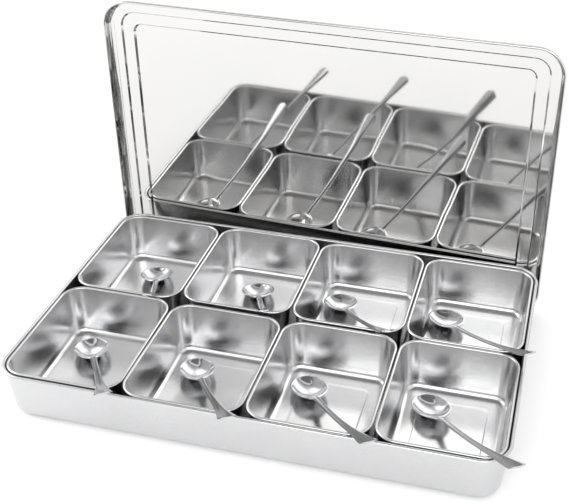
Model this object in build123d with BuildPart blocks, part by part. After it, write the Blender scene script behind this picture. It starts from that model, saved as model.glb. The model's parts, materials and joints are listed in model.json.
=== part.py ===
from build123d import *
import math
import os

# Garnish tray with loose pans, a spoon in each pan, and the lid stood on edge behind the tray
# Millimetres: X along the long side, Y from the front to the back, Z up
# The origin is the centre of the tray's underside

# Tray, measured over its rolled rim
tray_length = 386.0
tray_width = 248.4
tray_height = 44.0
tray_sheet = 0.8
tray_bead = 2.8
tray_corner_ease = 2.7
tray_draft = 6.0
tray_floor_radius = 9.0

# Pans: two rows that stand on the tray's floor, their rims level with the tray's rim
pan_gap = 0.88
row_gap = 1.8
pan_sheet = 0.6
pan_bead = 2.4
pan_corner = 17.0
pan_draft = 5.0
pan_floor_radius = 9.0
pan_panel_inset = 20.0
pan_panel_corner = 5.0
pan_panel_rise = 0.65
pan_panel_slope = 45.0

# Shares of a column's free length that lie before its front pan and behind its back pan
front_gap_shares = (0.30, 0.06, 0.09, 0.24)
back_gap_shares = (0.41, 0.06, 0.30, 0.52)

# Each pan's turn, as a share of the turn that its side gap leaves free
front_turn_shares = (0.50, -0.55, -0.10, -0.10)
back_turn_shares = (-0.25, -0.10, 0.15, -0.10)

# Lid, which fits over the tray's rim; it stands behind the tray, turned a little and leaning on the rim
lid_fit = 0.4
lid_sheet = 0.7
lid_bead = 1.8
lid_skirt = 9.4
lid_draft = 3.0
lid_skirt_radius = 4.0
lid_step_inset = 12.4
lid_panel_inset = 23.0
lid_step = 1.4
lid_second_step = 1.6
lid_step_corner = 14.0
lid_panel_corner = 8.0
lid_step_slope = 45.0
lid_stand_gap = 0.3
lid_turn = -1.6
lid_lean = 1.7

# Spoon: the bowl's reaches run from its centre to the tip and to the heel
spoon_length = 158.0
spoon_bowl_width = 29.0
spoon_bowl_depth = 7.2
spoon_sheet = 1.0
spoon_tip_reach = 20.5
spoon_heel_reach = 18.0
spoon_heel_overlap = 1.2
spoon_neck_thickness = 1.9
spoon_end_thickness = 1.3
spoon_neck_drop = 1.3
spoon_handle_middle = 9.0
spoon_handle_rise = 26.6
spoon_end_width = 13.4
spoon_end_bulge = 3.2
spoon_end_corner = 1.8

# Where the handle's outline passes, in shares of its length, and its width there, in shares of the end width
handle_place_shares = (0.0, 0.07, 0.42, 0.72, 0.88, 1.0)
handle_width_shares = (0.48, 0.35, 0.37, 0.52, 0.78, 1.0)

# Clearances of a resting spoon
spoon_floor_gap = 0.3
spoon_rim_gap = 0.9

# Bowl centres and the points where the handles cross the front rim's line, from the pan's centre,
# in shares of the pan's half width and half length
front_bowl_x_shares = (-0.30, -0.34, -0.38, -0.34)
front_bowl_y_shares = (0.39, 0.355, 0.37, 0.39)
front_cross_shares = (0.775, 0.70, 0.77, 0.85)
back_bowl_x_shares = (-0.09, -0.04, -0.45, -0.47)
back_bowl_y_shares = (0.30, 0.25, 0.30, 0.32)
back_cross_shares = (0.555, 0.555, 0.48, 0.74)

# Sizes that follow
pan_columns = len(front_gap_shares)
tray_corner = pan_corner + tray_bead + tray_corner_ease
tray_inner_length = tray_length - 2 * tray_bead
tray_inner_width = tray_width - 2 * tray_bead
pan_width = (tray_inner_length - (pan_columns + 1) * pan_gap) / pan_columns
pan_length = (tray_inner_width - 3 * row_gap) / 2
pan_pitch = pan_width + pan_gap
pan_height = tray_height - tray_sheet
pan_floor_top = tray_sheet + pan_sheet + pan_panel_rise
column_slack = tray_inner_width - 2 * pan_length
free_turn = math.degrees(math.atan(pan_gap / pan_length))

lid_inner_length = tray_length + 2 * lid_fit
lid_inner_width = tray_width + 2 * lid_fit
lid_length = lid_inner_length + 2 * lid_bead
lid_width = lid_inner_width + 2 * lid_bead
lid_corner = tray_corner + lid_fit + lid_bead

bowl_half_width = spoon_bowl_width / 2
bowl_radius = (bowl_half_width**2 + spoon_bowl_depth**2) / (2 * spoon_bowl_depth)
bowl_centre_height = bowl_radius - spoon_bowl_depth
spoon_end = spoon_length - spoon_tip_reach
handle_far = spoon_end + spoon_end_bulge
handle_start = spoon_heel_reach - spoon_heel_overlap

# Halvings of a search, enough for an exact place
search_halvings = 50


def tub_block(length, width, corner, depth, draft, edge_radius, plane):
    """Solid block that narrows away from the plane, with its far edge rounded."""
    with BuildPart() as block:
        with BuildSketch(plane):
            RectangleRounded(length, width, corner)
        extrude(amount=-depth, taper=draft)
        far_face = block.faces().sort_by(Axis(plane.origin, plane.z_dir))[0]
        fillet(far_face.edges(), radius=edge_radius)
    return block.part


def slope_block(length, width, corner, depth, slope, plane):
    """Shallow block with sloping sides, for a step pressed into a sheet."""
    with BuildPart() as block:
        with BuildSketch(plane):
            RectangleRounded(length, width, corner)
        extrude(amount=depth, taper=slope)
    return block.part


def rim_curl(length, width, corner, bead, sheet, plane):
    """Edge rolled outward into a bead that stays open underneath; the plane cuts its centre."""
    radius = bead / 2
    with BuildSketch(plane) as centre_line:
        RectangleRounded(length - bead, width - bead, corner - radius)
    path = centre_line.sketch.faces()[0].outer_wire()
    tangent = path % 0
    outward = tangent.cross(plane.z_dir)
    if outward.dot((path @ 0) - plane.origin) < 0:
        outward = -outward
    section_plane = Plane(origin=path @ 0, x_dir=outward, z_dir=outward.cross(plane.z_dir))
    with BuildPart() as curl:
        with BuildSketch(section_plane):
            Circle(radius)
            Circle(radius - sheet, mode=Mode.SUBTRACT)
            Rectangle(radius, radius, align=(Align.MAX, Align.MAX), mode=Mode.SUBTRACT)
        sweep(path=path)
    return curl.part


def wall_width(sheet, draft):
    """Level width of a sheet that leans by the draft."""
    return sheet / math.cos(math.radians(draft))


def slope_shift(sheet, slope):
    """Sideways shift between the two faces of a sheet where it turns into a slope."""
    return sheet * math.tan(math.radians(slope / 2))


# Tray
tray_rim = Plane.XY.offset(tray_height - tray_bead / 2)
tray_depth = tray_height - tray_bead / 2
tray_wall = wall_width(tray_sheet, tray_draft)
tray_outside = tub_block(
    tray_inner_length + 2 * tray_wall,
    tray_inner_width + 2 * tray_wall,
    tray_corner - tray_bead + tray_wall,
    tray_depth,
    tray_draft,
    tray_floor_radius,
    tray_rim,
)
tray_inside = tub_block(
    tray_inner_length,
    tray_inner_width,
    tray_corner - tray_bead,
    tray_depth - tray_sheet,
    tray_draft,
    tray_floor_radius - tray_sheet,
    tray_rim,
)
tray_curl = rim_curl(tray_length, tray_width, tray_corner, tray_bead, tray_sheet, tray_rim)

with BuildPart() as tray:
    add(tray_outside)
    add(tray_inside, mode=Mode.SUBTRACT)
    add(tray_curl)

# Pan, built at the origin of its own footprint on the level that it stands on
pan_rim = Plane.XY.offset(pan_height - pan_bead / 2)
pan_depth = pan_height - pan_bead / 2
pan_wall = wall_width(pan_sheet, pan_draft)
pan_inner_width = pan_width - 2 * pan_bead
pan_inner_length = pan_length - 2 * pan_bead
pan_outside = tub_block(
    pan_inner_width + 2 * pan_wall,
    pan_inner_length + 2 * pan_wall,
    pan_corner - pan_bead + pan_wall,
    pan_depth,
    pan_draft,
    pan_floor_radius,
    pan_rim,
)
pan_inside = tub_block(
    pan_inner_width,
    pan_inner_length,
    pan_corner - pan_bead,
    pan_depth - pan_sheet,
    pan_draft,
    pan_floor_radius - pan_sheet,
    pan_rim,
)
pan_curl = rim_curl(pan_width, pan_length, pan_corner, pan_bead, pan_sheet, pan_rim)
panel_width = pan_width - 2 * pan_panel_inset
panel_length = pan_length - 2 * pan_panel_inset
panel_shift = slope_shift(pan_sheet, pan_panel_slope)
panel_raise = slope_block(
    panel_width,
    panel_length,
    pan_panel_corner,
    pan_panel_rise,
    pan_panel_slope,
    Plane.XY.offset(pan_sheet),
)
panel_hollow = slope_block(
    panel_width - 2 * panel_shift,
    panel_length - 2 * panel_shift,
    pan_panel_corner - panel_shift,
    pan_panel_rise,
    pan_panel_slope,
    Plane.XY,
)

with BuildPart() as pan:
    add(pan_outside)
    add(pan_inside, mode=Mode.SUBTRACT)
    add(pan_curl)
    add(panel_raise)
    add(panel_hollow, mode=Mode.SUBTRACT)


# Spoon, built level with its bowl's centre at the origin and its handle along X
def bowl_half(reach, side):
    """Half of a round bowl, stretched to its reach along X."""
    with BuildPart() as half:
        with BuildSketch(Plane.XZ):
            with Locations((0, bowl_centre_height)):
                Circle(bowl_radius)
                Circle(bowl_radius - spoon_sheet, mode=Mode.SUBTRACT)
            Rectangle(
                bowl_half_width,
                spoon_bowl_depth,
                align=(Align.MIN, Align.MAX),
                mode=Mode.INTERSECT,
            )
        revolve(axis=Axis.Z)
        split(bisect_by=Plane.YZ, keep=side)
        scale(by=(reach / bowl_half_width, 1, 1))
    return half.part


bowl_tip_half = bowl_half(spoon_tip_reach, Keep.BOTTOM)
bowl_heel_half = bowl_half(spoon_heel_reach, Keep.TOP)
# The handle's curve runs on a little past the rounded end that its outline cuts
handle_middle = (handle_start + handle_far) / 2
handle_middle_thickness = (spoon_neck_thickness + spoon_end_thickness) / 2
handle_under = (
    (handle_start, -spoon_neck_drop - spoon_neck_thickness / 2),
    (handle_middle, spoon_handle_middle - handle_middle_thickness / 2),
    (handle_far, spoon_handle_rise - spoon_end_thickness / 2),
)
handle_top = (
    (handle_start, -spoon_neck_drop + spoon_neck_thickness / 2),
    (handle_middle, spoon_handle_middle + handle_middle_thickness / 2),
    (handle_far, spoon_handle_rise + spoon_end_thickness / 2),
)
handle_corner = spoon_end - spoon_end_bulge
handle_side = [
    (
        handle_start + place * (handle_corner - handle_start),
        share * spoon_end_width / 2,
    )
    for place, share in zip(handle_place_shares, handle_width_shares)
]

with BuildPart() as handle:
    with BuildSketch(Plane.XZ):
        with BuildLine():
            upper = ThreePointArc(*handle_top)
            lower = ThreePointArc(*handle_under)
            Line(upper @ 1, lower @ 1)
            Line(lower @ 0, upper @ 0)
        make_face()
    extrude(amount=spoon_end_width, both=True)
    with BuildSketch():
        with BuildLine():
            left = Spline(*handle_side)
            right = mirror(left, about=Plane.XZ)
            ThreePointArc(left @ 1, (spoon_end, 0), right @ 1)
            Line(left @ 0, right @ 0)
        face = make_face()
        fillet(face.vertices().group_by(Axis.X)[-1], radius=spoon_end_corner)
    extrude(amount=spoon_length, both=True, mode=Mode.INTERSECT)

with BuildPart() as spoon:
    add(bowl_tip_half)
    add(bowl_heel_half)
    add(handle)


def curve_height(arc, x):
    """Height of an upright shallow arc at a place along X."""
    centre = arc.arc_center
    reach = math.sqrt(arc.radius**2 - (x - centre.X) ** 2)
    return centre.Y + math.copysign(reach, (arc @ 0.5).Y - centre.Y)


def bowl_height(pitch):
    """Height of the bowl's centre when the pitched bowl lies just over the pan's floor."""
    stretch = spoon_tip_reach / bowl_half_width
    drop = bowl_radius * math.hypot(stretch * math.sin(pitch), math.cos(pitch))
    drop -= bowl_centre_height * math.cos(pitch)
    return pan_floor_top + spoon_floor_gap + drop


def beyond_rim(x, y):
    """Distance of a point outside the centre line of the pan's bead, negative inside it."""
    radius = pan_corner - pan_bead / 2
    over_x = abs(x) - (pan_width / 2 - pan_corner)
    over_y = abs(y) - (pan_length / 2 - pan_corner)
    corner_distance = math.hypot(max(over_x, 0), max(over_y, 0))
    return corner_distance + min(max(over_x, over_y), 0) - radius


def rim_reach(bowl_x, bowl_y, heading, offset):
    """Level distance from the bowl's centre to the pan's rim, along a line beside the heading."""
    near = 0
    far = pan_width + pan_length
    for _ in range(search_halvings):
        reach = (near + far) / 2
        x = bowl_x + reach * math.cos(heading) - offset * math.sin(heading)
        y = bowl_y + reach * math.sin(heading) + offset * math.cos(heading)
        if beyond_rim(x, y) < 0:
            near = reach
        else:
            far = reach
    return near


def rest_pitch(reach):
    """Pitch at which the bowl lies over the floor and the handle over the rim, a reach away."""
    under_arc = ThreePointArc(*handle_under)
    low = 0
    high = math.pi / 4
    for _ in range(search_halvings):
        pitch = (low + high) / 2
        rise = tray_height + spoon_rim_gap - bowl_height(pitch)
        along = reach * math.cos(pitch) + rise * math.sin(pitch)
        above = rise * math.cos(pitch) - reach * math.sin(pitch)
        if above > curve_height(under_arc, along):
            low = pitch
        else:
            high = pitch
    return low


def spoon_plane(pan_x, pan_y, bowl_x, bowl_y, cross_x):
    """Plane of a spoon that lies in a pan and on its front rim."""
    heading = math.atan2(-pan_length / 2 - bowl_y, cross_x - bowl_x)
    half_handle = spoon_end_width * handle_width_shares[2] / 2
    reach = min(rim_reach(bowl_x, bowl_y, heading, side * half_handle) for side in (-1, 0, 1))
    pitch = rest_pitch(reach)
    return Plane(
        origin=(pan_x + bowl_x, pan_y + bowl_y, bowl_height(pitch)),
        x_dir=(
            math.cos(heading) * math.cos(pitch),
            math.sin(heading) * math.cos(pitch),
            math.sin(pitch),
        ),
        z_dir=(
            -math.cos(heading) * math.sin(pitch),
            -math.sin(heading) * math.sin(pitch),
            math.cos(pitch),
        ),
    )


# Lid, built upright: the origin is the middle of its lower bead, its open side towards -Y
lid_rim = Plane(
    origin=(0, 0, (lid_width - lid_bead) / 2),
    x_dir=(1, 0, 0),
    z_dir=(0, -1, 0),
)
lid_wall = wall_width(lid_sheet, lid_draft)
lid_depth = lid_skirt - lid_bead / 2
lid_outside = tub_block(
    lid_inner_length + 2 * lid_wall,
    lid_inner_width + 2 * lid_wall,
    lid_corner - lid_bead + lid_wall,
    lid_depth + lid_sheet,
    lid_draft,
    lid_skirt_radius + lid_sheet,
    lid_rim,
)
lid_inside = tub_block(
    lid_inner_length,
    lid_inner_width,
    lid_corner - lid_bead,
    lid_depth,
    lid_draft,
    lid_skirt_radius,
    lid_rim,
)
lid_curl = rim_curl(lid_length, lid_width, lid_corner, lid_bead, lid_sheet, lid_rim)
lid_shift = slope_shift(lid_sheet, lid_step_slope)


def lid_step_block(inset, corner, depth, rise, grow):
    """One step of the lid, beyond a ledge that lies at a depth from the open edge."""
    return slope_block(
        lid_length - 2 * inset + 2 * grow,
        lid_width - 2 * inset + 2 * grow,
        corner + grow,
        rise,
        lid_step_slope,
        Plane(
            origin=(0, depth - lid_bead / 2, (lid_width - lid_bead) / 2),
            x_dir=(1, 0, 0),
            z_dir=(0, 1, 0),
        ),
    )


lid_steps = (
    (lid_step_inset, lid_step_corner, lid_skirt, lid_step),
    (lid_panel_inset, lid_panel_corner, lid_skirt + lid_step, lid_second_step),
)

with BuildPart() as lid:
    add(lid_outside)
    for inset, corner, depth, rise in lid_steps:
        add(lid_step_block(inset, corner, depth + lid_sheet, rise, lid_shift))
    add(lid_inside, mode=Mode.SUBTRACT)
    for inset, corner, depth, rise in lid_steps:
        add(lid_step_block(inset, corner, depth, rise, 0), mode=Mode.SUBTRACT)
    add(lid_curl)

# The lid's lower bead stands at the tray's foot and its inner ledge leans on the tray's rim, both
# at the end that is turned towards the tray
turn_slope = math.tan(math.radians(abs(lid_turn)))
lean_slope = math.tan(math.radians(lid_lean))
ledge_reach = lid_skirt + lid_step - lid_bead / 2
ledge_end = lid_length / 2 - lid_panel_inset
contact_height = tray_height - (tray_bead + lid_bead) / 2
lid_at_rim = tray_width / 2 + lid_stand_gap - ledge_reach
lid_at_rim += ledge_end * turn_slope + contact_height * lean_slope
foot_wall = tray_inner_width / 2 + tray_wall
foot_wall -= (tray_depth - tray_floor_radius) * math.tan(math.radians(tray_draft))
foot_centre = foot_wall - wall_width(tray_floor_radius, tray_draft)
foot_reach = tray_floor_radius + lid_bead / 2 + lid_stand_gap
foot_drop = tray_floor_radius - lid_bead / 2
lid_at_foot = foot_centre + math.sqrt(foot_reach**2 - foot_drop**2)
lid_at_foot += (tray_length / 2 - tray_corner) * turn_slope
lid_place = Location((0, max(lid_at_rim, lid_at_foot), lid_bead / 2))
lid_place *= Location((0, 0, 0), (0, 0, lid_turn)) * Location((0, 0, 0), (lid_lean, 0, 0))
with BuildPart() as placed_lid:
    with Locations(lid_place):
        add(lid)

# Rows: name, sign of the side that its pans are measured from, gaps, turns, bowls and crossings
rows = (
    (
        "front",
        -1,
        front_gap_shares,
        front_turn_shares,
        front_bowl_x_shares,
        front_bowl_y_shares,
        front_cross_shares,
    ),
    (
        "back",
        1,
        back_gap_shares,
        back_turn_shares,
        back_bowl_x_shares,
        back_bowl_y_shares,
        back_cross_shares,
    ),
)

pieces = {"tray": tray, "lid": placed_lid}
for row, sign, gaps, turns, bowls_x, bowls_y, crossings in rows:
    for column in range(pan_columns):
        pan_x = (column - (pan_columns - 1) / 2) * pan_pitch
        pan_y = sign * (tray_inner_width / 2 - gaps[column] * column_slack - pan_length / 2)
        pan_place = Location((pan_x, pan_y, tray_sheet), (0, 0, turns[column] * free_turn))
        with BuildPart() as placed_pan:
            with Locations(pan_place):
                add(pan)
        pieces[f"pan_{row}_{column + 1}"] = placed_pan
        spoon_place = spoon_plane(
            pan_x,
            pan_y,
            bowls_x[column] * pan_width / 2,
            bowls_y[column] * pan_length / 2,
            crossings[column] * pan_width / 2,
        )
        with BuildPart() as placed_spoon:
            with Locations(spoon_place):
                add(spoon)
        pieces[f"spoon_{row}_{column + 1}"] = placed_spoon

os.makedirs("parts", exist_ok=True)
for name, piece in pieces.items():
    piece.part.label = name
    export_step(piece.part, f"parts/{name}.step")
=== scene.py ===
import json
import math

import bmesh
import bpy
from mathutils import Matrix, Vector

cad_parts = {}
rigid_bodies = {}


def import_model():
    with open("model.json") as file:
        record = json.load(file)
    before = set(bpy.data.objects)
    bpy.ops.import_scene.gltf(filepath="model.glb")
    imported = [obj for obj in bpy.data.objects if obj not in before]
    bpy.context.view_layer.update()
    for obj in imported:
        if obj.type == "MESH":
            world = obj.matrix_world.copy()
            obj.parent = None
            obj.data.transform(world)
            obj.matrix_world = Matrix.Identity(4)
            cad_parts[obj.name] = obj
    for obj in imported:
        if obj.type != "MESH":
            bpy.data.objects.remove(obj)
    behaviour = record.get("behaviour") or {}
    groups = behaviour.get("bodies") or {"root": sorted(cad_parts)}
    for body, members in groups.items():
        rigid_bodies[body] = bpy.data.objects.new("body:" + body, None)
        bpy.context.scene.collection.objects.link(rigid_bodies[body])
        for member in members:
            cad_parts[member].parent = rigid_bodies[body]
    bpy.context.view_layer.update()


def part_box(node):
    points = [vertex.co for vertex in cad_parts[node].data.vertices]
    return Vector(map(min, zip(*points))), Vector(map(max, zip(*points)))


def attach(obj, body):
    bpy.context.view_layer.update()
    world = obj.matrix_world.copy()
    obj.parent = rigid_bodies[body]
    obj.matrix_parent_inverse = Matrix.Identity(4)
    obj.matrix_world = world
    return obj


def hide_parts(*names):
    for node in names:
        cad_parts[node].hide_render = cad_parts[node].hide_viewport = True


for left_over in list(bpy.data.objects):
    bpy.data.objects.remove(left_over)
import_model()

# Lengths are in millimetres, as on the drawing, and MM turns them to Blender's metres
MM = 0.001

# Sizes of the pressed pieces, over their rims; draft is in degrees, foot is its outer radius
TRAY = {
    "half": (193.0, 124.2),
    "corner": 22.5,
    "height": 44.0,
    "sheet": 0.8,
    "bead": 2.8,
    "draft": 6.0,
    "foot": 9.0,
}
PAN = {
    "half": (47.0, 59.35),
    "corner": 17.0,
    "height": 43.2,
    "sheet": 0.6,
    "bead": 2.4,
    "draft": 5.0,
    "foot": 6.0,
}
LID = {
    "half": (195.2, 126.4),
    "corner": 24.7,
    "height": 10.1,
    "sheet": 0.7,
    "bead": 1.8,
    "draft": 3.0,
    "foot": 4.7,
}

# The tray's floor is plain and flat, and its mesh has two rings on it
TRAY_FLOOR_INSETS = (24.0, 40.0)
TRAY_FLOOR_CORNER = 6.0

# Steps are pressed at 45 degrees, so each runs in as far as it rises
STEP_SLOPE = 45.0

# The pans' raised panel, and the flat strip beside its slope
PANEL_INSET = 20.0
PANEL_CORNER = 5.0
PANEL_RISE = 0.65
PANEL_STRIP = 2.0

# The bends of that slope: how far they reach onto the flat and onto the slope, and their share of
# the rise
BEND_ON_FLAT = 0.3
BEND_ON_SLOPE = 0.15
BEND_SHARE = 0.1

# The lid's two steps: inset, corner and rise, and the flat strip beside each
FIRST_STEP = (12.4, 14.0, 1.4)
SECOND_STEP = (23.0, 8.0, 1.6)
STEP_STRIP = 0.5

# The lid's panel bulges outwards a little towards its middle; its rings lie at shares of a reach
CROWN = -0.5
CROWN_REACH = 100.0
CROWN_SHARES = (0.02, 0.1, 0.2, 0.35, 0.5, 0.65, 0.8, 0.9)

# The lid stands on its long edge: how far that is behind the tray's middle, and how many degrees it
# is turned and leans
LID_STAND = 120.64
LID_TURN = -1.6
LID_LEAN = 1.7

# Each pan's turn, as a share of the turn that the gap beside it leaves free
PAN_GAP = 0.88
PAN_TURN_SHARES = {
    "front_1": 0.50,
    "front_2": -0.55,
    "front_3": -0.10,
    "front_4": -0.10,
    "back_1": -0.25,
    "back_2": -0.10,
    "back_3": 0.15,
    "back_4": -0.10,
}

# Each spoon in its pan: where its bowl's centre lies to the right and back, and where its handle
# crosses the front rim's line, as shares of the pan's half width and half length
SPOON_SHARES = {
    "front_1": (-0.30, 0.39, 0.775),
    "front_2": (-0.34, 0.355, 0.70),
    "front_3": (-0.38, 0.37, 0.77),
    "front_4": (-0.34, 0.39, 0.85),
    "back_1": (-0.09, 0.30, 0.555),
    "back_2": (-0.04, 0.25, 0.555),
    "back_3": (-0.45, 0.30, 0.48),
    "back_4": (-0.47, 0.32, 0.74),
}

# A resting spoon's clearance over the pan's floor and over the rims
SPOON_FLOOR_GAP = 0.3
SPOON_RIM_GAP = 0.9

# The spoon's bowl is a round cap, stretched to its tip and to its heel
TIP_REACH = 20.5
HEEL_REACH = 18.0
BOWL_HALF = 14.5
BOWL_DEPTH = 7.2
BOWL_SHEET = 1.0
BOWL_RADIUS = (BOWL_HALF**2 + BOWL_DEPTH**2) / (2 * BOWL_DEPTH)
BOWL_CENTRE = BOWL_RADIUS - BOWL_DEPTH

# The handle bends evenly from its neck to just past its end; its heights are those of its middle
# line at the start, halfway and at the far end
HANDLE_START = 16.8
HANDLE_END = 137.5
END_BULGE = 3.2
NECK_THICKNESS = 1.9
END_THICKNESS = 1.3
HANDLE_HEIGHTS = (-1.3, 9.0, 26.6)

# The handle's half widths, from its neck to its end's corners: how far along, and how wide
MIDDLE_HALF = 2.48
HANDLE_WIDTHS = (
    (14.0, 3.4),
    (16.8, 3.2),
    (25.0, 2.35),
    (45.0, 2.35),
    (66.15, MIDDLE_HALF),
    (101.4, 3.48),
    (120.2, 5.23),
    (133.0, 6.6),
    (135.2, 6.2),
    (137.5, 5.2),
)

# Stretches along the spoon in which one form turns into the next
BOWL_TO_HANDLE = (11.0, 19.0)
NECK_TO_END = (16.0, HANDLE_END)
FLARE = (100.0, 126.0)
END_ROUNDING = (122.0, 136.0)

# How far the handle's top falls to its sides and its corners round off, in shares of its thickness
HANDLE_CROWN = 0.42
END_CROWN = 0.20
UPPER_ROUNDING = 0.2
LOWER_ROUNDING = 0.3

# The flared end is pressed lower towards its sides: how deep, and over which share of its half
# width
BORDER_DEPTH = 0.55
BORDER = (0.58, 0.92)

# The bowl's rounded lip, and the least thickness at the spoon's edge
LIP_ROUNDING = 0.18
THINNEST = 0.25

# Widths of the bowl's two skins and of the spoon's underside, as shares of the outline's
INNER_SHARE = 0.995
OUTER_SHARE = 0.999
UNDERSIDE_SHARE = 0.995

# Where the spoon's sections lie: by angle in its bowl, and closer together at its neck and its end
TIP_ANGLES = range(3, 90, 6)
HEEL_ANGLES = range(0, 78, 6)
NECK_SECTIONS = (17.8, 18.3, 19.0, 20.0, 21.5, 23.5, 26.0)
HANDLE_SECTIONS = 29
HANDLE_SPACING = 3.5
END_SECTIONS = (129.5, 131.0, 132.3, 133.4, 134.3, 135.1, 135.8)

# Steps of the meshes, round a corner, along a side, down a foot, round a rim and across a spoon
CORNER_STEPS = 14
SIDE_STEPS = 8
FOOT_STEPS = 12
OUTER_CURL_STEPS = 27
INNER_CURL_STEPS = 18
ACROSS = 12

# A rim is rolled this far round, in degrees, and edges sharper than this stay sharp
CURL_TURN = 270
SHARP_ANGLE = 40

# Halvings of a search, enough for an exact place
HALVINGS = 50

# Each point keeps its place on its own piece, so the grain runs the same way on every pan
ON_PIECE = "on_piece"

# Noise seldom leaves this range
NOISE_RANGE = (0.3, 0.7)


# Nodes and colours


def node(tree, kind, values=None, wires=None, **settings):
    """Adds a node with its settings, its sockets' values and the wires that come into it."""
    made = tree.nodes.new(kind)
    for name, value in settings.items():
        setattr(made, name, value)
    for name, value in (values or {}).items():
        made.inputs[name].default_value = value
    for name, source in (wires or {}).items():
        tree.links.new(source, made.inputs[name])
    return made


def linear(hex_colour):
    """An sRGB hex colour as Blender's linear RGBA."""
    levels = [int(hex_colour[i : i + 2], 16) / 255 for i in (0, 2, 4)]
    turned = [v / 12.92 if v <= 0.04045 else ((v + 0.055) / 1.055) ** 2.4 for v in levels]
    return (*turned, 1.0)


def steel(name, pale, dark, polish, grain, wave):
    """Stainless sheet. polish is its lowest and highest roughness, grain the spacing, length and
    depth of its polishing lines, and wave the width and depth of the press's slow unevenness."""
    spacing, length, depth = grain
    width, swell = wave
    material = bpy.data.materials.new(name)
    material.use_nodes = True
    tree = material.node_tree
    tree.nodes.clear()
    place = node(tree, "ShaderNodeAttribute", attribute_name=ON_PIECE)
    lines = node(
        tree,
        "ShaderNodeMapping",
        {"Scale": (1 / (spacing * MM), 1 / (length * MM), 1 / (spacing * MM))},
        {"Vector": place.outputs["Vector"]},
    )
    hairs = node(
        tree,
        "ShaderNodeTexNoise",
        {"Scale": 1.0, "Detail": 3.0, "Roughness": 0.6},
        {"Vector": lines.outputs["Vector"]},
    )
    slow = node(
        tree,
        "ShaderNodeTexNoise",
        {"Scale": 1 / (width * MM), "Detail": 1.0, "Roughness": 0.4},
        {"Vector": place.outputs["Vector"]},
    )
    tint = node(
        tree,
        "ShaderNodeMix",
        {"A": linear(pale), "B": linear(dark)},
        {"Factor": slow.outputs["Fac"]},
        data_type="RGBA",
    )
    rough = node(
        tree,
        "ShaderNodeMapRange",
        {
            "From Min": NOISE_RANGE[0],
            "From Max": NOISE_RANGE[1],
            "To Min": polish[0],
            "To Max": polish[1],
        },
        {"Value": hairs.outputs["Fac"]},
    )
    swelled = node(
        tree,
        "ShaderNodeBump",
        {"Strength": 1.0, "Distance": swell * MM},
        {"Height": slow.outputs["Fac"]},
    )
    brushed = node(
        tree,
        "ShaderNodeBump",
        {"Strength": 1.0, "Distance": depth * MM},
        {"Height": hairs.outputs["Fac"], "Normal": swelled.outputs["Normal"]},
    )
    surface = node(
        tree,
        "ShaderNodeBsdfPrincipled",
        {"Metallic": 1.0},
        {
            "Base Color": tint.outputs["Result"],
            "Roughness": rough.outputs["Result"],
            "Normal": brushed.outputs["Normal"],
        },
    )
    node(tree, "ShaderNodeOutputMaterial", wires={"Surface": surface.outputs["BSDF"]})
    return material


# Finishes


# Real polishing lines lie under 0.1 mm apart and wouldn't show, so all four finishes draw them 0.3
# to 0.5 mm apart

# Deep-drawn stainless with a satin finish: greys that run softly into each other, no sharp image
satin_pan = steel(
    "satin_stainless_pan",
    pale="DEDEDE",
    dark="D0D0D1",
    polish=(0.21, 0.27),
    grain=(0.5, 18.0, 0.001),
    wave=(26.0, 0.10),
)
# Thicker deep-drawn stainless with a satin finish, for the outer tray: a little darker and duller
satin_tray = steel(
    "satin_stainless_tray",
    pale="D4D4D5",
    dark="CCCCCD",
    polish=(0.24, 0.32),
    grain=(0.4, 9.0, 0.002),
    wave=(40.0, 0.10),
)
# Bright annealed stainless sheet: an almost clear mirror, a little uneven
bright_lid = steel(
    "bright_stainless_lid",
    pale="DAD9D8",
    dark="D3D3D2",
    polish=(0.03, 0.05),
    grain=(0.5, 60.0, 0.0002),
    wave=(90.0, 0.05),
)
# Drop-stamped stainless, buffed: crisp dark and light along every curve
buffed_spoon = steel(
    "buffed_stainless_spoon",
    pale="CDCDCE",
    dark="BCBCBD",
    polish=(0.07, 0.12),
    grain=(0.3, 4.0, 0.0006),
    wave=(14.0, 0.02),
)


# Pressed sheet


def outline(half_x, half_y, corner):
    """Points round a rounded rectangle, with as many of them whatever its size."""
    turns = []
    for turn, (sign_x, sign_y) in enumerate(((1, 1), (-1, 1), (-1, -1), (1, -1))):
        centre = Vector((sign_x * (half_x - corner), sign_y * (half_y - corner)))
        angles = [math.radians(90 * (turn + i / CORNER_STEPS)) for i in range(CORNER_STEPS + 1)]
        turns.append([centre + corner * Vector((math.cos(a), math.sin(a))) for a in angles])
    points = []
    for here, after in zip(turns, turns[1:] + turns[:1]):
        points += here
        points += [here[-1].lerp(after[0], i / SIDE_STEPS) for i in range(1, SIDE_STEPS)]
    return points


def arc(centre, radius, start, end, steps):
    """Points of an arc in the section, angles in degrees."""
    made = []
    for step in range(steps + 1):
        angle = math.radians(start + (end - start) * step / steps)
        made.append((centre[0] + radius * math.cos(angle), centre[1] + radius * math.sin(angle)))
    return made


def wall_and_foot(top, draft, floor, radius):
    """Section of one face of a wall, from its top, an inset and a height, down round its foot."""
    lean = math.radians(draft)
    level = floor + radius
    wall_inset = top[0] + (top[1] - level) * math.tan(lean)
    centre = (wall_inset + radius / math.cos(lean), level)
    return [top, *arc(centre, radius, 180 + draft, 270, FOOT_STEPS)]


def rolled_rim(rim, bead, sheet):
    """Section of the rim's bead: from its outer edge over the top, down round its inner side, and
    back inside the curl."""
    over = arc(rim, bead, 180, 180 - CURL_TURN, OUTER_CURL_STEPS)
    back = arc(rim, bead - sheet, 180 - CURL_TURN, 180, INNER_CURL_STEPS)
    return over[1:] + back[:-1]


def slope_shift(sheet):
    """Sideways shift between the two faces of a sheet where it turns into a pressed slope."""
    return sheet * math.tan(math.radians(STEP_SLOPE / 2))


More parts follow.
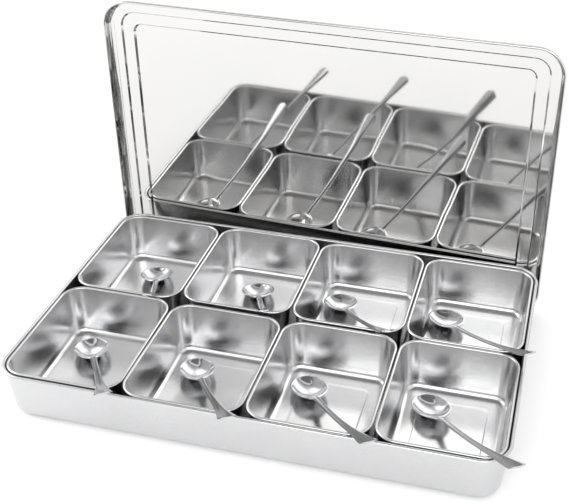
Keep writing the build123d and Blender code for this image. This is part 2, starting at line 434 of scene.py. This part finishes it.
def pressed(name, tub, inner_floor, outer_floor, place):
    """A pressed tub. Each ring of its floors is an inset, a height and a corner, the inner floor's
    from the middle outwards and the outer floor's inwards."""
    bead = tub["bead"] / 2
    sheet = tub["sheet"]
    draft = tub["draft"]
    rim = (bead, tub["height"] - bead)
    wall = sheet / math.cos(math.radians(draft))
    inside = wall_and_foot((2 * bead, rim[1]), draft, sheet, tub["foot"] - sheet)
    outside = wall_and_foot((2 * bead - wall, rim[1]), draft, 0.0, tub["foot"])
    walls = [*reversed(inside), *rolled_rim(rim, bead, sheet), *outside]
    wall_rings = [(inset, height, tub["corner"] - inset) for inset, height in walls]
    half_x, half_y = tub["half"]
    made = bmesh.new()
    rings = []
    for inset, height, corner in [*inner_floor, *wall_rings, *outer_floor]:
        points = outline(half_x - inset, half_y - inset, corner)
        rings.append([made.verts.new((*(point * MM), height * MM)) for point in points])
    for near, far in zip(rings, rings[1:]):
        for i in range(len(near)):
            j = (i + 1) % len(near)
            made.faces.new((near[i], near[j], far[j], far[i]))
    # One flat face closes each of the two rings in the middle of the floor
    made.faces.new(rings[0])
    made.faces.new(rings[-1])
    return finished(name, made, place)


def finished(name, made, place):
    """Object from a mesh, set in its place, shaded smooth with its flats kept flat."""
    on_piece = made.verts.layers.float_vector.new(ON_PIECE)
    for point in made.verts:
        point[on_piece] = point.co
    made.transform(place)
    bmesh.ops.recalc_face_normals(made, faces=made.faces)
    mesh = bpy.data.meshes.new(name)
    made.to_mesh(mesh)
    made.free()
    mesh.shade_smooth()
    mesh.set_sharp_from_angle(angle=math.radians(SHARP_ANGLE))
    piece = bpy.data.objects.new(name, mesh)
    bpy.context.scene.collection.objects.link(piece)
    flats = piece.modifiers.new("flats", "WEIGHTED_NORMAL")
    flats.keep_sharp = True
    return piece


def dress(piece, material, body):
    """Gives a piece its finish, and lets it stand for its CAD node."""
    piece.data.materials.append(material)
    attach(piece, body)
    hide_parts(body)


# Tray
near_foot, near_middle = TRAY_FLOOR_INSETS
tray = pressed(
    "tray_shell",
    TRAY,
    [(inset, TRAY["sheet"], TRAY_FLOOR_CORNER) for inset in (near_middle, near_foot)],
    [(inset, 0.0, TRAY_FLOOR_CORNER) for inset in (near_foot, near_middle)],
    Matrix.Identity(4),
)
dress(tray, satin_tray, "tray")

# Pans: each floor has a shallow raised panel
panel_top = PANEL_INSET + PANEL_RISE
panel_top_corner = PANEL_CORNER - PANEL_RISE
floor_level = PAN["sheet"]
bend_rise = PANEL_RISE * BEND_SHARE
pan_inner_floor = [
    (panel_top + PANEL_STRIP, floor_level + PANEL_RISE, panel_top_corner),
    (panel_top + BEND_ON_FLAT, floor_level + PANEL_RISE, panel_top_corner),
    (panel_top - BEND_ON_SLOPE, floor_level + PANEL_RISE - bend_rise, panel_top_corner),
    (PANEL_INSET + BEND_ON_SLOPE, floor_level + bend_rise, PANEL_CORNER),
    (PANEL_INSET - BEND_ON_FLAT, floor_level, PANEL_CORNER),
    (PANEL_INSET - PANEL_STRIP, floor_level, PANEL_CORNER),
]
pan_shift = slope_shift(PAN["sheet"])
pan_outer_floor = [
    (PANEL_INSET + pan_shift, 0.0, PANEL_CORNER - pan_shift),
    (panel_top + pan_shift, PANEL_RISE, panel_top_corner - pan_shift),
    (panel_top + pan_shift + PANEL_STRIP, PANEL_RISE, PANEL_CORNER - PANEL_STRIP),
]
free_turn = math.atan(PAN_GAP / (2 * PAN["half"][1]))
pan_spots = {}
for name, share in PAN_TURN_SHARES.items():
    low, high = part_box(f"pan_{name}")
    middle = (low + high) / 2
    pan_spots[name] = Vector((middle.x, middle.y, low.z))
    set_down = Matrix.Translation(pan_spots[name]) @ Matrix.Rotation(share * free_turn, 4, "Z")
    pan = pressed(f"pan_{name}_shell", PAN, pan_inner_floor, pan_outer_floor, set_down)
    dress(pan, satin_pan, f"pan_{name}")

# Lid: two steps pressed outwards round its panel
first_in, first_corner, first_rise = FIRST_STEP
second_in, second_corner, second_rise = SECOND_STEP
ledge_level = LID["sheet"]
middle_level = ledge_level - first_rise
panel_level = middle_level - second_rise
panel_in = second_in + second_rise
panel_corner = second_corner - second_rise


def crowned(level):
    """Rings of the lid's panel, from its edge towards its middle."""
    rings = []
    for share in CROWN_SHARES:
        lift = CROWN * math.sin(share * math.pi / 2) ** 2
        rings.append((panel_in + share * CROWN_REACH, level + lift, panel_corner))
    return rings


lid_inner_floor = [
    *reversed(crowned(panel_level)),
    (panel_in, panel_level, panel_corner),
    (second_in, middle_level, second_corner),
    (second_in - STEP_STRIP, middle_level, second_corner),
    (first_in + first_rise + STEP_STRIP, middle_level, first_corner - first_rise),
    (first_in + first_rise, middle_level, first_corner - first_rise),
    (first_in, ledge_level, first_corner),
    (first_in - STEP_STRIP, ledge_level, first_corner),
]
lid_shift = slope_shift(LID["sheet"])
outer_panel_level = panel_level - LID["sheet"]
lid_outer_floor = [
    (first_in - lid_shift, 0.0, first_corner + lid_shift),
    (first_in - lid_shift + first_rise, -first_rise, first_corner + lid_shift - first_rise),
    (second_in - lid_shift, -first_rise, second_corner + lid_shift),
    (panel_in - lid_shift, outer_panel_level, panel_corner + lid_shift),
    *crowned(outer_panel_level),
]
lid_bead = LID["bead"] / 2
lower_edge = Vector((0.0, LID["height"] - lid_bead, LID["half"][1] - lid_bead))
stood_up = (
    Matrix.Translation(Vector((0.0, LID_STAND, lid_bead)) * MM)
    @ Matrix.Rotation(math.radians(LID_TURN), 4, "Z")
    @ Matrix.Rotation(math.radians(LID_LEAN), 4, "X")
    @ Matrix.Translation(lower_edge * MM)
    @ Matrix.Rotation(math.radians(90), 4, "X")
)
lid = pressed("lid_shell", LID, lid_inner_floor, lid_outer_floor, stood_up)
dress(lid, bright_lid, "lid")


# Spoons, each made level with its bowl's centre at the origin and its handle along X

handle_far = HANDLE_END + END_BULGE
handle_places = (HANDLE_START, (HANDLE_START + handle_far) / 2, handle_far)
thicknesses = (NECK_THICKNESS, (NECK_THICKNESS + END_THICKNESS) / 2, END_THICKNESS)
handle_top = [
    (x, height + thickness / 2)
    for x, height, thickness in zip(handle_places, HANDLE_HEIGHTS, thicknesses)
]
handle_under = [
    (x, height - thickness / 2)
    for x, height, thickness in zip(handle_places, HANDLE_HEIGHTS, thicknesses)
]


def smooth(low, high, value):
    """0 below low, 1 above high, and an easy curve between."""
    share = min(max((value - low) / (high - low), 0.0), 1.0)
    return share * share * (3 - 2 * share)


def handle_half(x):
    """Half width of the handle, a smooth curve through its given widths."""
    table = HANDLE_WIDTHS
    if x <= table[0][0]:
        return table[0][1]
    for i in range(len(table) - 1):
        if x <= table[i + 1][0]:
            before = table[max(i - 1, 0)]
            after = table[min(i + 2, len(table) - 1)]
            (x0, w0), (x1, w1) = table[i], table[i + 1]
            slope0 = (w1 - before[1]) / (x1 - before[0]) if i else 0.0
            slope1 = (after[1] - w0) / (after[0] - x0)
            span = x1 - x0
            share = (x - x0) / span
            return (
                (2 * share**3 - 3 * share**2 + 1) * w0
                + (share**3 - 2 * share**2 + share) * span * slope0
                + (3 * share**2 - 2 * share**3) * w1
                + (share**3 - share**2) * span * slope1
            )
    return table[-1][1]


def spoon_half(x):
    """Half width of the whole spoon's outline, with an easy curve from its bowl to its neck."""
    reach = TIP_REACH if x < 0 else HEEL_REACH
    bowl = BOWL_HALF * math.sqrt(max(1 - (x / reach) ** 2, 0.0))
    if x < 0:
        return bowl
    neck = handle_half(x) * smooth(0.0, HANDLE_WIDTHS[0][0], x)
    return (bowl**3 + neck**3) ** (1 / 3)


def bowl_skin(x, y, radius):
    """Height of one of the bowl's skins, a round cap stretched to its reach."""
    reach = TIP_REACH if x < 0 else HEEL_REACH
    out = BOWL_HALF * math.hypot(x / reach, y / BOWL_HALF)
    return min(BOWL_CENTRE - math.sqrt(max(radius**2 - out**2, 0.0)), 0.0)


def handle_line(x):
    """Height of the middle of the handle's upper side."""
    (x0, y0), (_, y1), (x2, y2) = handle_top
    part = (x - x0) / (x2 - x0)
    sag = (y0 + y2) / 2 - y1
    return y0 + (y2 - y0) * part - 4 * sag * part * (1 - part)


def spoon_section(x):
    """Points across the spoon at x, of its upper side and of its lower side. The higher the power
    of edge, the nearer to the edge its rounding keeps."""
    half = spoon_half(x)
    join = smooth(*BOWL_TO_HANDLE, x)
    thick = NECK_THICKNESS + (END_THICKNESS - NECK_THICKNESS) * smooth(*NECK_TO_END, x)
    flare = smooth(*FLARE, x)
    crown = HANDLE_CROWN + (END_CROWN - HANDLE_CROWN) * flare
    upper, lower = [], []
    for i in range(-ACROSS, ACROSS + 1):
        share = math.sin(math.pi / 2 * i / ACROSS)
        edge = abs(share)
        y = share * half
        bow = END_BULGE * (1 - share**2) * smooth(*END_ROUNDING, x)
        along = min(x, HANDLE_END - END_BULGE) + bow
        line = handle_line(along)
        fall = thick * (crown * edge**2 + UPPER_ROUNDING * edge**8)
        border = flare * BORDER_DEPTH * smooth(*BORDER, edge)
        handle_upper = line - fall - border
        handle_lower = line - thick * (1 - LOWER_ROUNDING * edge**6)
        bowl_upper = bowl_skin(x, y * INNER_SHARE, BOWL_RADIUS - BOWL_SHEET)
        bowl_upper -= LIP_ROUNDING * edge**10
        bowl_lower = bowl_skin(x, y * OUTER_SHARE, BOWL_RADIUS)
        top = bowl_upper * (1 - join) + handle_upper * join
        bottom = bowl_lower * (1 - join) + handle_lower * join
        upper.append(Vector((along, y, top)) * MM)
        bottom = min(bottom, top - THINNEST)
        lower.append(Vector((along, y * UNDERSIDE_SHARE, bottom)) * MM)
    return upper, lower


def spoon_mesh(name, place):
    """A teaspoon, its two sides joined along its edges, its tip and its end."""
    places = [-TIP_REACH * math.cos(math.radians(angle)) for angle in TIP_ANGLES]
    places += [HEEL_REACH * math.sin(math.radians(angle)) for angle in HEEL_ANGLES]
    places += NECK_SECTIONS
    places += [NECK_SECTIONS[-1] + HANDLE_SPACING * i for i in range(1, HANDLE_SECTIONS + 1)]
    places += END_SECTIONS
    made = bmesh.new()
    tops, bottoms = [], []
    for x in places:
        upper, lower = spoon_section(x)
        tops.append([made.verts.new(point) for point in upper])
        bottoms.append([made.verts.new(point) for point in lower])
    for rows, flip in ((tops, False), (bottoms, True)):
        for near, far in zip(rows, rows[1:]):
            for i in range(len(near) - 1):
                corners = (near[i], near[i + 1], far[i + 1], far[i])
                made.faces.new(reversed(corners) if flip else corners)
    for i in (0, -1):
        for k in range(len(tops) - 1):
            made.faces.new((tops[k][i], bottoms[k][i], bottoms[k + 1][i], tops[k + 1][i]))
    for k in (0, -1):
        for i in range(2 * ACROSS):
            made.faces.new((tops[k][i], tops[k][i + 1], bottoms[k][i + 1], bottoms[k][i]))
    return finished(name, made, place)


def halved(low, high, is_short):
    """The value between low and high up to which is_short holds."""
    for _ in range(HALVINGS):
        middle = (low + high) / 2
        if is_short(middle):
            low = middle
        else:
            high = middle
    return low


def arc_height(points, x):
    """Height at x of the hollow arc through three points."""
    (x0, y0), (x1, y1), (x2, y2) = points
    squares = [px**2 + py**2 for px, py in points]
    scale = 2 * (x0 * (y1 - y2) + x1 * (y2 - y0) + x2 * (y0 - y1))
    centre_x = sum(s * d for s, d in zip(squares, (y1 - y2, y2 - y0, y0 - y1))) / scale
    centre_y = sum(s * d for s, d in zip(squares, (x2 - x1, x0 - x2, x1 - x0))) / scale
    radius = math.hypot(x0 - centre_x, y0 - centre_y)
    return centre_y - math.sqrt(radius**2 - (x - centre_x) ** 2)


def bowl_height(pitch):
    """Height of the bowl's centre when the pitched bowl lies just over the pan's floor."""
    stretch = TIP_REACH / BOWL_HALF
    drop = BOWL_RADIUS * math.hypot(stretch * math.sin(pitch), math.cos(pitch))
    drop -= BOWL_CENTRE * math.cos(pitch)
    return TRAY["sheet"] + PAN["sheet"] + PANEL_RISE + SPOON_FLOOR_GAP + drop


def beyond_rim(x, y):
    """Distance of a point outside the centre line of a pan's bead, negative inside it."""
    half_width, half_length = PAN["half"]
    over_x = abs(x) - (half_width - PAN["corner"])
    over_y = abs(y) - (half_length - PAN["corner"])
    corner_distance = math.hypot(max(over_x, 0), max(over_y, 0))
    return corner_distance + min(max(over_x, over_y), 0) - (PAN["corner"] - PAN["bead"] / 2)


def rim_reach(bowl_x, bowl_y, heading, offset):
    """Level distance from the bowl's centre to the pan's rim, along a line beside the heading."""

    def is_inside(reach):
        x = bowl_x + reach * math.cos(heading) - offset * math.sin(heading)
        y = bowl_y + reach * math.sin(heading) + offset * math.cos(heading)
        return beyond_rim(x, y) < 0

    return halved(0.0, 2 * sum(PAN["half"]), is_inside)


def rest_pitch(reach):
    """Pitch at which the bowl lies over the floor and the handle over the rim, a reach away."""

    def is_too_flat(pitch):
        rise = TRAY["height"] + SPOON_RIM_GAP - bowl_height(pitch)
        along = reach * math.cos(pitch) + rise * math.sin(pitch)
        above = rise * math.cos(pitch) - reach * math.sin(pitch)
        return above > arc_height(handle_under, along)

    return halved(0.0, math.pi / 4, is_too_flat)


def laid_in(pan_spot, share_x, share_y, share_crossing):
    """Place of a spoon that lies in a pan and on its front rim."""
    half_width, half_length = PAN["half"]
    bowl_x = share_x * half_width
    bowl_y = share_y * half_length
    heading = math.atan2(-half_length - bowl_y, share_crossing * half_width - bowl_x)
    reach = min(rim_reach(bowl_x, bowl_y, heading, side * MIDDLE_HALF) for side in (-1, 0, 1))
    pitch = rest_pitch(reach)
    centre = Vector((bowl_x, bowl_y, bowl_height(pitch))) * MM
    centre += Vector((pan_spot.x, pan_spot.y, 0.0))
    turned = Matrix.Rotation(heading, 4, "Z") @ Matrix.Rotation(-pitch, 4, "Y")
    return Matrix.Translation(centre) @ turned


for name, shares in SPOON_SHARES.items():
    spoon = spoon_mesh(f"spoon_{name}_solid", laid_in(pan_spots[name], *shares))
    dress(spoon, buffed_spoon, f"spoon_{name}")


# Camera, set where the photograph was taken from; angles are in degrees and its distance in metres

VIEW_AZIMUTH = 13.078
VIEW_ELEVATION = 30.067
VIEW_ROLL = 1.046
VIEW_DISTANCE = 1.0053
VIEW_TARGET = Vector((2.825, 187.794, 44.0)) * MM
FOCAL_LENGTH = 66.5
SENSOR_WIDTH = 36.0
LENS_SHIFT = (-0.106, -0.083)

azimuth, elevation = math.radians(VIEW_AZIMUTH), math.radians(VIEW_ELEVATION)
back = Vector(
    (
        math.sin(azimuth) * math.cos(elevation),
        -math.cos(azimuth) * math.cos(elevation),
        math.sin(elevation),
    )
)
level_right = Vector((math.cos(azimuth), math.sin(azimuth), 0.0))
right = Matrix.Rotation(math.radians(VIEW_ROLL), 3, back) @ level_right
up = back.cross(right)
spot = VIEW_TARGET + VIEW_DISTANCE * back
lens = bpy.data.cameras.new("camera")
lens.lens = FOCAL_LENGTH
lens.sensor_width = SENSOR_WIDTH
lens.sensor_fit = "HORIZONTAL"
lens.shift_x, lens.shift_y = LENS_SHIFT
camera = bpy.data.objects.new("camera", lens)
camera.matrix_world = Matrix(
    (
        (right.x, up.x, back.x, spot.x),
        (right.y, up.y, back.y, spot.y),
        (right.z, up.z, back.z, spot.z),
        (0, 0, 0, 1),
    )
)
bpy.context.scene.collection.objects.link(camera)
bpy.context.scene.camera = camera


# Studio, in metres: all white, with two soft boxes and a grey ceiling that shows only in the steel


def matt(name, colour):
    """A plain matt studio surface."""
    material = bpy.data.materials.new(name)
    material.use_nodes = True
    tree = material.node_tree
    tree.nodes.clear()
    surface = node(tree, "ShaderNodeBsdfDiffuse", {"Color": linear(colour)})
    node(tree, "ShaderNodeOutputMaterial", wires={"Surface": surface.outputs["BSDF"]})
    return material


def panel(name, size, place, look_at, material):
    """A flat sheet of the studio that faces a point."""
    made = bmesh.new()
    bmesh.ops.create_grid(made, x_segments=1, y_segments=1, size=0.5)
    mesh = bpy.data.meshes.new(name)
    made.to_mesh(mesh)
    made.free()
    mesh.materials.append(material)
    sheet = bpy.data.objects.new(name, mesh)
    turn = (Vector(look_at) - Vector(place)).to_track_quat("Z", "Y").to_matrix().to_4x4()
    sheet.matrix_world = Matrix.Translation(place) @ turn @ Matrix.Diagonal((*size, 1, 1))
    bpy.context.scene.collection.objects.link(sheet)
    return sheet


def lamp(name, size, power, place, look_at):
    """A soft box that faces a point."""
    light = bpy.data.lights.new(name, "AREA")
    light.shape = "RECTANGLE"
    light.size, light.size_y = size
    light.energy = power
    box = bpy.data.objects.new(name, light)
    turn = (Vector(look_at) - Vector(place)).to_track_quat("-Z", "Y").to_matrix().to_4x4()
    box.matrix_world = Matrix.Translation(place) @ turn
    box.visible_camera = False
    bpy.context.scene.collection.objects.link(box)


# The floor lies a hair under the tray's underside, so that the two never mix
panel(
    "floor",
    size=(6.0, 6.0),
    place=(0.0, 0.0, -0.0002),
    look_at=(0.0, 0.0, 1.0),
    material=matt("white_floor", "FFFFFF"),
)
ceiling = panel(
    "grey_ceiling",
    size=(1.6, 1.3),
    place=(0.0, -0.1, 1.5),
    look_at=(0.0, -0.1, 0.0),
    material=matt("grey_cloth", "787879"),
)
ceiling.visible_camera = False
ceiling.visible_diffuse = False
ceiling.visible_shadow = False
lamp("front_box", size=(2.6, 1.3), power=24.0, place=(0.5, -2.0, 1.45), look_at=(0.0, 0.0, 0.0))
lamp("left_box", size=(1.2, 1.2), power=10.0, place=(-1.6, 0.0, 1.1), look_at=(0.0, 0.0, 0.0))

world = bpy.data.worlds.new("studio")
world.use_nodes = True
bpy.context.scene.world = world
world.node_tree.nodes.clear()
white = node(
    world.node_tree,
    "ShaderNodeBackground",
    {"Color": linear("FFFFFF"), "Strength": 1.0},
)
node(world.node_tree, "ShaderNodeOutputWorld", wires={"Surface": white.outputs["Background"]})

bpy.context.scene.view_settings.view_transform = "Standard"

bpy.context.view_layer.update()
